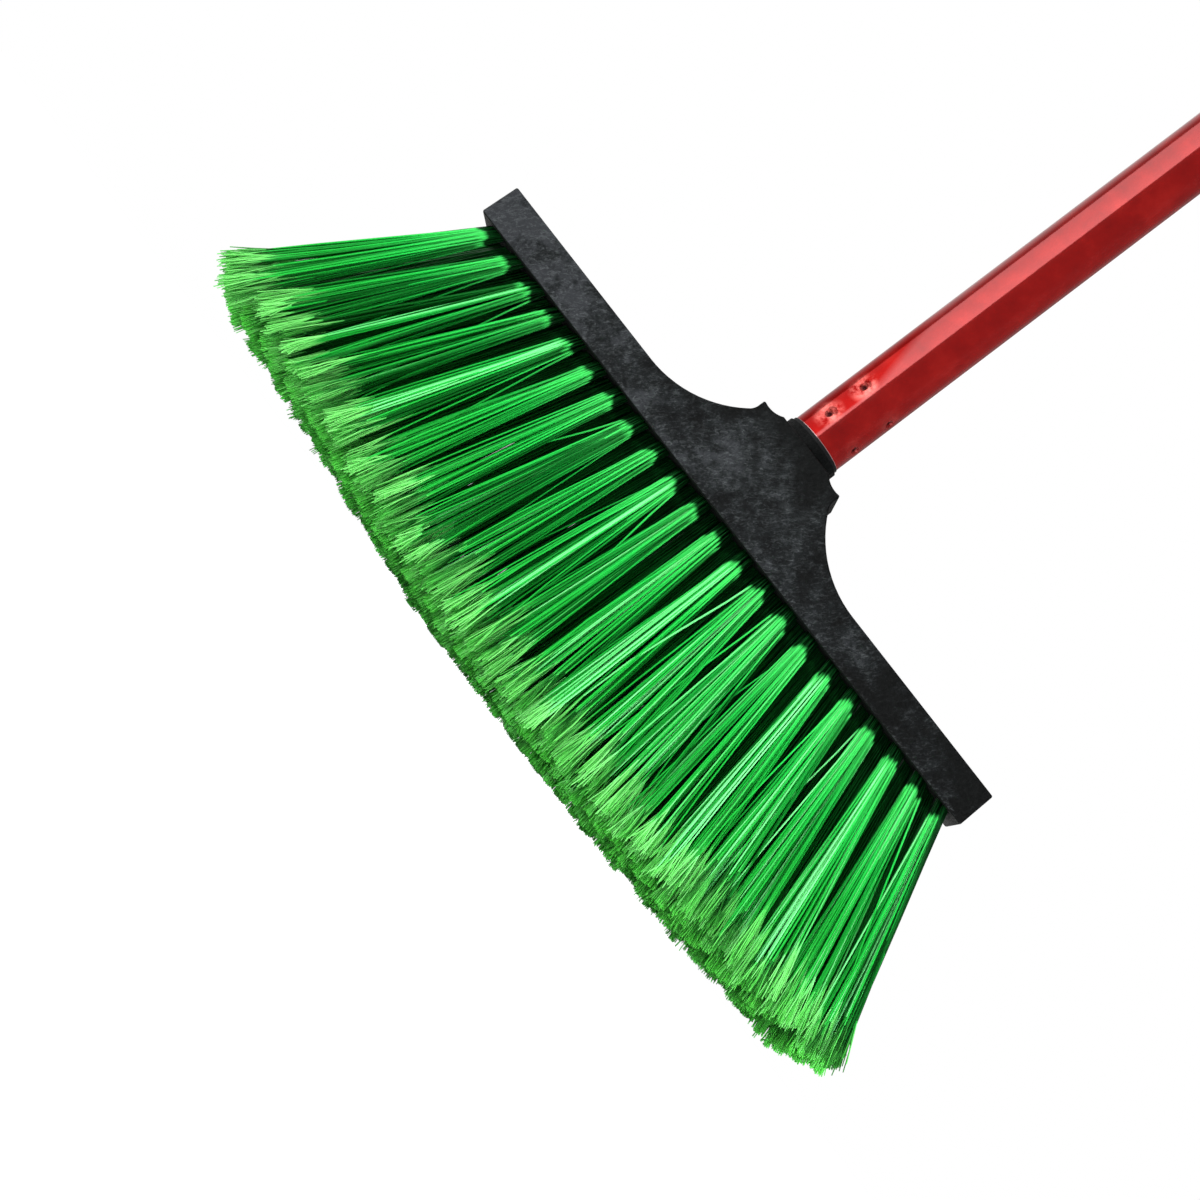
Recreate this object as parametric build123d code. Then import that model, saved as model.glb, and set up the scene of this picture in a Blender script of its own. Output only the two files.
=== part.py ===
from build123d import *
import math
import os

# Household broom: a moulded head, bristle tufts held in blind holes by flat anchors,
# and a coated tube handle that screws into the head by a staked plastic ferrule.
# Millimetres and degrees. Z runs up the handle, X along the head, Y through its depth.
# The origin is the middle of the bristle tips, where the broom stands on the floor.

# Head block, measured up from its underside
bar_length = 254.0
bar_depth = 36.0
bar_height = 14.0
bar_end_draft = 0.6
bar_corner_radius = 0.8
upper_edge_radius = 0.6
bar_foot_chamfer = 0.4
neck_width = 40.0
neck_depth = 33.0
neck_height = 35.3
neck_rim_height = 4.3
neck_flare_radius = 42.0
neck_crease_radius = 5.0
shoulder_rise = 1.5
shoulder_sag = 1.0
socket_height = 40.8
socket_web = 2.3
collar_wall = 2.1

# Tufts and the holes that hold them
columns = 22
rows = 4
row_spacing = 8.0
end_margin = 8.1
hole_diameter = 6.0
hole_depth = 9.5
tuft_gap = 0.05
tuft_end_gap = 0.2
tuft_proud = 2.0
bristle_length = 98.0
trim_depth = 0.5
end_fan = 25.5
row_fan = 7.0

# Strands, five to a tuft: one in the middle and four round it
strand_fill = 0.9
strand_gap = 0.3
strand_root = 1.0
strand_tip_width = 1.6
tip_spread_x = 4.6
tip_spread_y = 4.0

# Flat anchors that hold the folded tufts
anchor_bite = 0.3
anchor_thickness = 0.45
anchor_height = 1.8
anchor_end_gap = 0.6

# Screw thread between ferrule and head, drawn as rings
thread_major = 19.05
thread_depth = 1.75
thread_pitch = 5.08
thread_crest = 1.4
thread_flank = 0.9
thread_gap = 0.35
thread_lead = 1.5

# Handle tube and its stake marks
tube_diameter = 22.0
tube_wall = 0.5
tube_length = 1200.0
stake_rows = 2
stakes_per_row = 4
stake_first = 8.3
stake_row_gap = 14.6
stake_angle = -25.0
stake_radius = 1.8
stake_depth = 0.9

# Ferrule
ferrule_tip_gap = 0.8
ferrule_wall = 2.6
ferrule_plug_length = 32.0
flange_seat_gap = 0.1
flange_thickness = 1.2
flange_lip = 0.3
plug_gap = 0.05

# Hang cap at the handle's upper end
cap_plug_length = 24.0
cap_flange = 2.5
cap_tab_width = 19.0
cap_tab_thickness = 8.0
cap_tab_height = 30.0
cap_hole_diameter = 9.0
cap_edge_radius = 1.2

# How close an edge's direction and place have to be when it is picked
pick_along = 0.9
pick_near = 0.01

# Places worked out from the sizes
underside = bristle_length
hole_radius = hole_diameter / 2
tuft_radius = hole_radius - tuft_gap
strand_width = (2 * tuft_radius * strand_fill - 2 * strand_gap) / 3
strand_offset = strand_width + strand_gap
column_reach = bar_length / 2 - end_margin
pitch = 2 * column_reach / (columns - 1)
row_reach = row_spacing * (rows - 1) / 2
strand_length = bristle_length + trim_depth
thread_radius = thread_major / 2
thread_core = thread_radius - thread_depth
ring_height = thread_crest + 2 * thread_flank
socket_floor = underside + hole_depth + socket_web
socket_rim = underside + socket_height
collar_radius = thread_radius + thread_gap + collar_wall
ferrule_bottom = socket_floor + ferrule_tip_gap
flange_bottom = socket_rim + flange_seat_gap
tube_bottom = flange_bottom + flange_thickness
tube_top = tube_bottom + tube_length
tube_radius = tube_diameter / 2
tube_bore = tube_radius - tube_wall
plug_radius = tube_bore - plug_gap


def polygon(plane, points):
    return plane * make_face(Polyline(*points, close=True))


def revolved(points):
    return revolve(polygon(Plane.XZ, points), Axis.Z)


# Head block
def head_outline():
    half_bar = bar_length / 2
    half_neck = neck_width / 2
    rim_base = neck_height - neck_rim_height
    centre_z = bar_height + neck_flare_radius
    drop = centre_z - rim_base
    foot_x = half_neck + math.sqrt(neck_flare_radius**2 - drop**2)
    half_turn = math.acos(drop / neck_flare_radius) / 2
    mid_x = foot_x - neck_flare_radius * math.sin(half_turn)
    mid_z = centre_z - neck_flare_radius * math.cos(half_turn)
    shoulder_z = neck_height + shoulder_rise
    right = Polyline(
        (0, 0),
        (half_bar, 0),
        (half_bar - bar_end_draft, bar_height),
        (foot_x, bar_height),
    )
    flare = ThreePointArc((foot_x, bar_height), (mid_x, mid_z), (half_neck, rim_base))
    rim = Line((half_neck, rim_base), (half_neck, neck_height))
    shoulder_mid = ((half_neck + collar_radius) / 2, (neck_height + shoulder_z) / 2 - shoulder_sag)
    shoulder = ThreePointArc((half_neck, neck_height), shoulder_mid, (collar_radius, shoulder_z))
    top = Polyline((collar_radius, shoulder_z), (0, shoulder_z), (0, 0))
    half = make_face([*right.edges(), flare, rim, shoulder, *top.edges()])
    return Plane.XZ * (half + mirror(half, Plane.YZ))


def runs_along_y(edge):
    return abs(edge.tangent_at(0.5).Y) > pick_along


def is_neck_crease(edge):
    # Where the flare meets the upright rim of the neck
    rim_base = neck_height - neck_rim_height
    return runs_along_y(edge) and abs(edge.center().Z - rim_base) < pick_near


def is_bar_corner(edge):
    at_end = abs(edge.center().X) > bar_length / 2 - bar_end_draft - pick_near
    return at_end and abs(edge.tangent_at(0.5).Z) > pick_along


def is_upper_edge(edge):
    # Outline of the bar's top, the flare, the rim and its lip
    centre = edge.center()
    if centre.Z < bar_height - upper_edge_radius:
        return False
    at_end = abs(centre.X) > bar_length / 2 - bar_end_draft - bar_corner_radius
    at_lip = abs(centre.Z - neck_height) < pick_near
    return at_end or at_lip or not runs_along_y(edge)


def head_body():
    top = neck_height + shoulder_rise
    front = extrude(head_outline(), bar_depth, both=True)
    side_points = [
        (-bar_depth / 2, 0),
        (bar_depth / 2, 0),
        (neck_depth / 2, top),
        (-neck_depth / 2, top),
    ]
    side = extrude(polygon(Plane.YZ, side_points), bar_length, both=True)
    body = front & side
    body = fillet([edge for edge in body.edges() if is_neck_crease(edge)], neck_crease_radius)
    body = fillet([edge for edge in body.edges() if is_bar_corner(edge)], bar_corner_radius)
    body = fillet([edge for edge in body.edges() if is_upper_edge(edge)], upper_edge_radius)
    body = chamfer(body.faces().sort_by(Axis.Z)[0].edges(), bar_foot_chamfer)
    return Pos(0, 0, underside) * body


def ring_heights():
    room = socket_rim - thread_lead - ferrule_bottom - thread_lead
    count = int((room - ring_height) / thread_pitch) + 1
    return [ferrule_bottom + thread_lead + i * thread_pitch for i in range(count)]


def thread_side(radial_gap, bottom, top):
    # Right-hand side of the thread, from bottom to top, wider by the gap all round
    points = [(thread_core + radial_gap, bottom)]
    for z in ring_heights():
        points.append((thread_core + radial_gap, z - radial_gap))
        points.append((thread_radius + radial_gap, z + thread_flank - radial_gap))
        points.append((thread_radius + radial_gap, z + thread_flank + thread_crest + radial_gap))
        points.append((thread_core + radial_gap, z + ring_height + radial_gap))
    points.append((thread_core + radial_gap, top))
    return points


def socket_space():
    side = thread_side(thread_gap, socket_floor, socket_rim)
    return revolved([(0, socket_floor), *side, (0, socket_rim)])


def head_block(anchors):
    collar_bottom = underside + neck_height
    collar = Pos(0, 0, (collar_bottom + socket_rim) / 2) * Cylinder(collar_radius, socket_rim - collar_bottom)
    holes = [tuft_hole(x, y) for x, y in tuft_places()]
    return head_body() + collar - socket_space() - holes - anchors


# Tufts
def column_places(column):
    # Odd rows start at the bar's end, even rows stand half a pitch further on
    places = []
    for row in range(rows):
        x = -column_reach + (column + 0.5 * (row % 2)) * pitch
        if x < column_reach + pick_near:
            places.append((x, -row_reach + row * row_spacing))
    return places


def tuft_places():
    return [place for column in range(columns) for place in column_places(column)]


def tuft_angles(x, y):
    return math.radians(end_fan * x / column_reach), math.radians(row_fan * y / row_reach)


def tuft_plane(x, y, depth):
    # Square to the tuft, at a depth up its hole, with Z pointing out of the hole
    turn_x, turn_y = tuft_angles(x, y)
    out = Vector(math.tan(turn_x), math.tan(turn_y), -1).normalized()
    mouth = Vector(x, y, underside)
    return Plane(mouth - out * depth, x_dir=(1, 0, math.tan(turn_x)), z_dir=out)


def tuft_rod(x, y, radius, depth, proud):
    return extrude(tuft_plane(x, y, depth) * Circle(radius), depth + proud)


def tuft_hole(x, y):
    return tuft_rod(x, y, hole_radius, hole_depth, hole_diameter)


def tuft_anchor(x, y):
    depth = hole_depth - anchor_end_gap
    length = hole_diameter + 2 * anchor_bite
    return extrude(tuft_plane(x, y, depth) * Rectangle(length, anchor_thickness), anchor_height)


def strand_tip(x, y, step_x, step_y):
    # All strands are one length, so the tips lie on an arc that is cut flat at the floor
    turn_x, turn_y = tuft_angles(x, y)
    reach = strand_length * math.sin(turn_x) + step_x * tip_spread_x
    drop = math.sqrt(strand_length**2 - reach**2)
    tip_z = max(underside - drop, 0.0)
    tip_y = y + drop * math.tan(turn_y) + step_y * tip_spread_y
    return Plane((x + reach, tip_y, tip_z), x_dir=(1, 0, 0), z_dir=(0, 0, -1))


def strand(x, y, step_x, step_y):
    start = tuft_plane(x, y, strand_root - tuft_proud)
    # The plane's own Y points to the back of the row frame's Y
    place = Pos(step_x * strand_offset, -step_y * strand_offset)
    root = start * place * Rectangle(strand_width, strand_width)
    tip = strand_tip(x, y, step_x, step_y) * Rectangle(strand_tip_width, strand_tip_width)
    return loft([root.face(), tip.face()], ruled=True)


def tuft_column(column):
    steps = [(0, 0), (1, 0), (-1, 0), (0, 1), (0, -1)]
    places = column_places(column)
    rods = [tuft_rod(x, y, tuft_radius, hole_depth - tuft_end_gap, tuft_proud) for x, y in places]
    strands = [strand(x, y, step_x, step_y) for x, y in places for step_x, step_y in steps]
    tufts = rods[0].fuse(*rods[1:], *strands)
    return tufts.cut(*[tuft_anchor(x, y) for x, y in places])


# Handle
def stake_balls(radius):
    reach = tube_radius + stake_radius - stake_depth
    balls = []
    for row in range(stake_rows):
        z = tube_bottom + stake_first + row * stake_row_gap
        for i in range(stakes_per_row):
            turn = math.radians(stake_angle + 360 * i / stakes_per_row)
            balls.append(Pos(reach * math.sin(turn), -reach * math.cos(turn), z) * Sphere(radius))
    return balls


def upright_rod(radius, bottom, top):
    return Pos(0, 0, (bottom + top) / 2) * Cylinder(radius, top - bottom)


def handle_tube():
    outside = upright_rod(tube_radius, tube_bottom, tube_top) - stake_balls(stake_radius)
    inside = upright_rod(tube_bore, tube_bottom, tube_top) - stake_balls(stake_radius + tube_wall)
    return outside - inside


def threaded_ferrule():
    plug_top = tube_bottom + ferrule_plug_length
    bore = thread_core - ferrule_wall
    flange_radius = tube_radius + flange_lip
    points = [
        (0, ferrule_bottom),
        *thread_side(0, ferrule_bottom, flange_bottom),
        (flange_radius, flange_bottom),
        (flange_radius, tube_bottom),
        (plug_radius, tube_bottom),
        (plug_radius, plug_top),
        (bore, plug_top),
        (bore, ferrule_bottom + ferrule_wall),
        (0, ferrule_bottom + ferrule_wall),
    ]
    return revolved(points) - stake_balls(stake_radius + tube_wall + plug_gap)


def hang_cap():
    flange_top = tube_top + cap_flange
    plug = upright_rod(plug_radius, tube_top - cap_plug_length, tube_top)
    flange = upright_rod(tube_radius, tube_top, flange_top)
    hole_z = flange_top + cap_tab_height - cap_tab_width / 2
    lower_tab = Pos(0, (flange_top + hole_z) / 2) * Rectangle(cap_tab_width, hole_z - flange_top)
    outline = lower_tab + Pos(0, hole_z) * Circle(cap_tab_width / 2)
    tab = extrude(Plane.XZ * outline, cap_tab_thickness / 2, both=True)
    rims = [edge for edge in tab.edges() if edge.center().Z > flange_top + cap_edge_radius]
    tab = fillet(rims, cap_edge_radius)
    hole = Pos(0, 0, hole_z) * Rot(90, 0, 0) * Cylinder(cap_hole_diameter / 2, 2 * cap_tab_thickness)
    return plug + flange + tab - hole


def main():
    anchors = [tuft_anchor(x, y) for x, y in tuft_places()]
    nodes = {
        "head_block": head_block(anchors),
        "tuft_anchors": Compound(anchors),
        "threaded_ferrule": threaded_ferrule(),
        "handle_tube": handle_tube(),
        "hang_cap": hang_cap(),
    }
    for column in range(columns):
        nodes[f"tuft_column_{column + 1:02d}"] = tuft_column(column)
    os.makedirs("parts", exist_ok=True)
    for name, shape in nodes.items():
        export_step(shape, f"parts/{name}.step")


main()
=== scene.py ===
import bmesh
import bpy
import math
import numpy as np
from mathutils import Matrix, Vector


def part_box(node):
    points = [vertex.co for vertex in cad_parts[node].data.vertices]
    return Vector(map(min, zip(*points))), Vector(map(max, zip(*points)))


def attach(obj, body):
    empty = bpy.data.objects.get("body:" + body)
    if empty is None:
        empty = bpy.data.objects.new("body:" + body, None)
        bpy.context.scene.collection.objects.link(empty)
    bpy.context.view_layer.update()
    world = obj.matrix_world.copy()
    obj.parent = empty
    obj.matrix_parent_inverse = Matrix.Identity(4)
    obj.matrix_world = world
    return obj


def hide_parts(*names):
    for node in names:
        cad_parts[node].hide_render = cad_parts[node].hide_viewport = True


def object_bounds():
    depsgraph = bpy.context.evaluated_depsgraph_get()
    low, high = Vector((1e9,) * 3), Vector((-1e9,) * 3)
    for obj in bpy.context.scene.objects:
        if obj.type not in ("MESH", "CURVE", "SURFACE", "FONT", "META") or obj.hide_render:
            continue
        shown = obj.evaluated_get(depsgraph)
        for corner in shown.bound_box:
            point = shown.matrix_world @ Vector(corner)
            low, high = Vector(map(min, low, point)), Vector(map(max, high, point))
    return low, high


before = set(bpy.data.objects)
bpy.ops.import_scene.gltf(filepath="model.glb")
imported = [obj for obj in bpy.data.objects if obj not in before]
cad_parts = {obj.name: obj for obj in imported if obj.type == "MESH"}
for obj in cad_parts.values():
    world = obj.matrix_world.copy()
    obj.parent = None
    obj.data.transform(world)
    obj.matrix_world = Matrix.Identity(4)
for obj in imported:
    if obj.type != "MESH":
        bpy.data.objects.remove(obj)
cadLow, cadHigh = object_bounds()
mm = 0.001  # the frame is in metres


def hexColour(text):  # sRGB hex to the linear colour that a socket takes
    channels = [int(text[i:i + 2], 16) / 255 for i in (1, 3, 5)]
    linear = [c / 12.92 if c <= 0.04045 else ((c + 0.055) / 1.055) ** 2.4 for c in channels]
    return (*linear, 1.0)


def addNode(tree, kind, links=None, stops=(), **settings):
    # A link is a number, a colour, a socket, or a node, whose first output in use is taken;
    # stops are a ramp's (place, hex colour) pairs
    node = tree.nodes.new(kind)
    for name, value in settings.items():
        setattr(node, name, value)
    for socket, value in (links or {}).items():
        if isinstance(value, bpy.types.Node):
            value = next(output for output in value.outputs if output.enabled)
        if isinstance(value, bpy.types.NodeSocket):
            tree.links.new(value, node.inputs[socket])
        else:
            node.inputs[socket].default_value = value
    for i, (place, colour) in enumerate(stops):
        element = node.color_ramp.elements[i] if i < 2 else node.color_ramp.elements.new(place)
        element.position = place
        element.color = hexColour(colour)
    return node


def newMaterial(name):
    material = bpy.data.materials.new(name)
    material.use_nodes = True
    material.node_tree.nodes.clear()
    return material, material.node_tree


def perSize(millimetres):  # texture scale that gives one feature this wide
    return 1 / (millimetres * mm)


# Head plastic
headLook = {
    # Fresh plastic to chalky
    "worn": [(0.41, "#030404"), (0.5, "#080a0b"), (0.58, "#121516"), (0.68, "#2b2d30")],
    "cloudSize": 12.0,  # mm
    "leftPaintedLight": 0.17, "rightPaintedShade": -0.07, "neckDark": -0.06,  # added to the clouds, by place: painted light at the left end, painted shade at the right end, and darker on the neck
    "neckStart": (12.0, 26.0),  # mm above the underside
    "streaky": (0.5, 0.7),  # how much noise starts a streak, and makes it whole
    "scratch": "#565a5c", "scrapeLong": 2.2, "scrapeWide": 0.9, "scrapeLean": 53.0,  # mm, degrees
    "chalky": (0.42, 0.66), "scrapeShare": (0.03, 0.62),  # from fresh plastic to chalky
    "edgeRub": 1.8, "edgeWear": 0.25,  # mm above the underside that is rubbed more
    "scuffLong": 6.0, "scuffWide": 1.5, "scuffLean": 45.0, "scuffShare": 0.34,  # mm, degrees
    "scuffAt": 20.0, "scuffReach": (8.0, 30.0),  # mm above the underside, and from there
    "patchy": (0.44, 0.58), "patchShare": (0.1, 1.0),  # scuffs show most in the paler clouds
    # Painted shade: near black on the underside and towards the socket's rim
    "shadeBlack": "#030404", "shadedUnder": 0.2,  # mm above the underside
    "collar": (15.0, 3.0), "collarShade": 0.95,  # mm below the socket's rim
    "lumpSize": 2.6, "lumpDepth": 0.9, "grainSize": 0.9, "grainDepth": 0.3,  # mm
    "roughness": (0.6, 0.85), "shine": 0.12,  # dust takes most of the shine
}


def blackPolypropylene():
    # Injection moulded and much used: a dull black gone chalky in clouds, finely scraped all over,
    # rubbed in streaks across the neck and pale along the lower edge, with painted light at the
    # left end, painted shade at the right end, and painted shade on the underside and round the
    # socket
    material, tree = newMaterial("blackPolypropylene")
    low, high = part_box("head_block")
    place = addNode(tree, "ShaderNodeTexCoord").outputs["Object"]
    axes = addNode(tree, "ShaderNodeSeparateXYZ", {"Vector": place}).outputs
    cloud = addNode(tree, "ShaderNodeTexNoise", {
        "Vector": place, "Scale": perSize(headLook["cloudSize"]), "Detail": 8.0, "Roughness": 0.72})
    # Painted light towards the left end and painted shade towards the right end
    paintedLighting = addNode(tree, "ShaderNodeMapRange", {
        "Value": axes["X"], "From Min": low.x, "From Max": high.x,
        "To Min": headLook["leftPaintedLight"], "To Max": headLook["rightPaintedShade"]})
    neckFrom, neckTo = (low.z + rise * mm for rise in headLook["neckStart"])
    darker = addNode(tree, "ShaderNodeMapRange", {
        "Value": axes["Z"], "From Min": neckFrom, "From Max": neckTo,
        "To Max": headLook["neckDark"]})
    tone = addNode(tree, "ShaderNodeMath", {0: paintedLighting, 1: darker}, operation="ADD")
    worn = addNode(tree, "ShaderNodeMath", {0: cloud, 1: tone}, operation="ADD")
    black = addNode(tree, "ShaderNodeValToRGB", {"Fac": worn}, stops=headLook["worn"])

    # Fine scrapes, thickest where the plastic is chalky and along the lower edge
    streakFrom, streakTo = headLook["streaky"]
    long, wide = headLook["scrapeLong"] * mm, headLook["scrapeWide"] * mm
    leant = addNode(tree, "ShaderNodeMapping", {
        "Vector": place, "Rotation": (0.0, -math.radians(headLook["scrapeLean"]), 0.0),
        "Scale": (long, wide, wide)}, vector_type="TEXTURE")
    scrape = addNode(tree, "ShaderNodeTexNoise", {
        "Vector": leant, "Scale": 1.0, "Detail": 4.0, "Roughness": 0.75, "Distortion": 1.0})
    scraped = addNode(tree, "ShaderNodeMapRange", {
        "Value": scrape, "From Min": streakFrom, "From Max": streakTo})
    edge = addNode(tree, "ShaderNodeMapRange", {
        "Value": axes["Z"], "From Min": low.z, "From Max": low.z + headLook["edgeRub"] * mm,
        "To Min": headLook["edgeWear"], "To Max": 0.0})
    rubbedOften = addNode(tree, "ShaderNodeMath", {0: worn, 1: edge}, operation="ADD")
    chalky = addNode(tree, "ShaderNodeMapRange", {
        "Value": rubbedOften, "From Min": headLook["chalky"][0], "From Max": headLook["chalky"][1],
        "To Min": headLook["scrapeShare"][0], "To Max": headLook["scrapeShare"][1]})
    scrapeShare = addNode(tree, "ShaderNodeMath", {0: scraped, 1: chalky}, operation="MULTIPLY")

    # Longer streaks across the neck, in patches
    long, wide = headLook["scuffLong"] * mm, headLook["scuffWide"] * mm
    turned = addNode(tree, "ShaderNodeMapping", {
        "Vector": place, "Rotation": (0.0, -math.radians(headLook["scuffLean"]), 0.0),
        "Scale": (long, wide, wide)}, vector_type="TEXTURE")
    rub = addNode(tree, "ShaderNodeTexNoise", {
        "Vector": turned, "Scale": 1.0, "Detail": 7.0, "Roughness": 0.75, "Distortion": 0.6})
    rubbed = addNode(tree, "ShaderNodeMapRange", {
        "Value": rub, "From Min": streakFrom, "From Max": streakTo,
        "To Max": headLook["scuffShare"]})
    neck = (0.0, low.y, low.z + headLook["scuffAt"] * mm)
    fromNeck = addNode(tree, "ShaderNodeVectorMath", {0: place, 1: neck}, operation="DISTANCE")
    nearNeck = addNode(tree, "ShaderNodeMapRange", {
        "Value": fromNeck, "From Min": headLook["scuffReach"][0] * mm,
        "From Max": headLook["scuffReach"][1] * mm, "To Min": 1.0, "To Max": 0.0})
    scuffed = addNode(tree, "ShaderNodeMath", {0: rubbed, 1: nearNeck}, operation="MULTIPLY")
    patch = addNode(tree, "ShaderNodeMapRange", {
        "Value": cloud, "From Min": headLook["patchy"][0], "From Max": headLook["patchy"][1],
        "To Min": headLook["patchShare"][0], "To Max": headLook["patchShare"][1]})
    scuffShare = addNode(tree, "ShaderNodeMath", {0: scuffed, 1: patch}, operation="MULTIPLY")
    paleShare = addNode(tree, "ShaderNodeMath", {0: scrapeShare, 1: scuffShare},
                        operation="MAXIMUM")
    scratched = addNode(tree, "ShaderNodeMix", {
        "Factor": paleShare, "A": black, "B": hexColour(headLook["scratch"])}, data_type="RGBA")

    # Painted shade on the underside and up the collar to the socket's rim
    under = addNode(tree, "ShaderNodeMath", {0: axes["Z"], 1: low.z + headLook["shadedUnder"] * mm},
                    operation="LESS_THAN")
    collarFrom, collarTo = (high.z - down * mm for down in headLook["collar"])
    nearRim = addNode(tree, "ShaderNodeMapRange", {
        "Value": axes["Z"], "From Min": collarFrom, "From Max": collarTo,
        "To Max": headLook["collarShade"]}, interpolation_type="SMOOTHSTEP")
    shadeShare = addNode(tree, "ShaderNodeMath", {0: nearRim, 1: under}, operation="MAXIMUM")
    shadedBlack = addNode(tree, "ShaderNodeMix", {
        "Factor": shadeShare, "A": scratched, "B": hexColour(headLook["shadeBlack"])}, data_type="RGBA")

    lump = addNode(tree, "ShaderNodeTexNoise", {
        "Vector": place, "Scale": perSize(headLook["lumpSize"]), "Detail": 3.0, "Roughness": 0.6})
    grain = addNode(tree, "ShaderNodeTexNoise", {
        "Vector": place, "Scale": perSize(headLook["grainSize"]), "Detail": 3.0, "Roughness": 0.6})
    lumpy = addNode(tree, "ShaderNodeBump", {
        "Height": lump, "Strength": 0.7, "Distance": headLook["lumpDepth"] * mm})
    grained = addNode(tree, "ShaderNodeBump", {
        "Height": grain, "Strength": 0.6, "Distance": headLook["grainDepth"] * mm, "Normal": lumpy})
    rough = addNode(tree, "ShaderNodeMapRange", {
        "Value": grain, "From Min": 0.3, "From Max": 0.7,
        "To Min": headLook["roughness"][0], "To Max": headLook["roughness"][1]})
    shader = addNode(tree, "ShaderNodeBsdfPrincipled", {
        "Base Color": shadedBlack, "Roughness": rough, "IOR": 1.49,
        "Specular IOR Level": headLook["shine"], "Normal": grained})
    addNode(tree, "ShaderNodeOutputMaterial", {"Surface": shader})
    return material


# Handle coating
coatLook = {
    "red": [(0.3, "#780706"), (0.5, "#850a08"), (0.7, "#93130f")],
    # The pale pink is a painted highlight round the stake marks, and the dark red is painted shade
    # in them
    "steel": "#947878", "markHighlight": "#f08078", "dentShade": "#2c0405",
    "mottleSize": 11.0, "highlightSize": 4.5, "peelSize": 2.4, "peelDepth": 0.2,  # mm
    "bareEnd": 0.25,  # mm of steel left bare at the cut end
    "stakes": 4, "firstStake": -25.0, "stakeRows": (8.3, 22.9),  # degrees, mm above the cut end
    "dentReach": 3.6, "dentDepth": 0.35,  # mm of wall that a stake draws in with it
    "flareReach": 7.0, "flareDepth": 0.35,  # mm that the staking opens the end
    "highlightReach": (2.0, 6.5), "pressReach": (0.6, 1.4), "raggedBy": 0.6,  # mm from a mark's middle
    "highlightPatches": (0.4, 0.62), "highlightShare": 0.7,  # how much noise starts the painted highlight, and makes it whole
    "litSide": (13.0, 22.0),  # degrees round from the first marks, past which the side is unlit and the painted highlight fades
    "unlitShare": 0.12,  # share of the painted highlight there
    "clampReach": (12.0, 24.0),  # mm above the cut end that a clamp dulled
    "clampSlant": 46.0,  # mm further up for each radius to the left
    "clampEdge": (-0.18, -0.12),  # its right-hand edge, in radii from the middle
    "metal": 0.42, "gloss": (0.05, 0.7),  # the steel's shine, and the coat's, dulled and not
    "roughness": 0.1,
}


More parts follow.
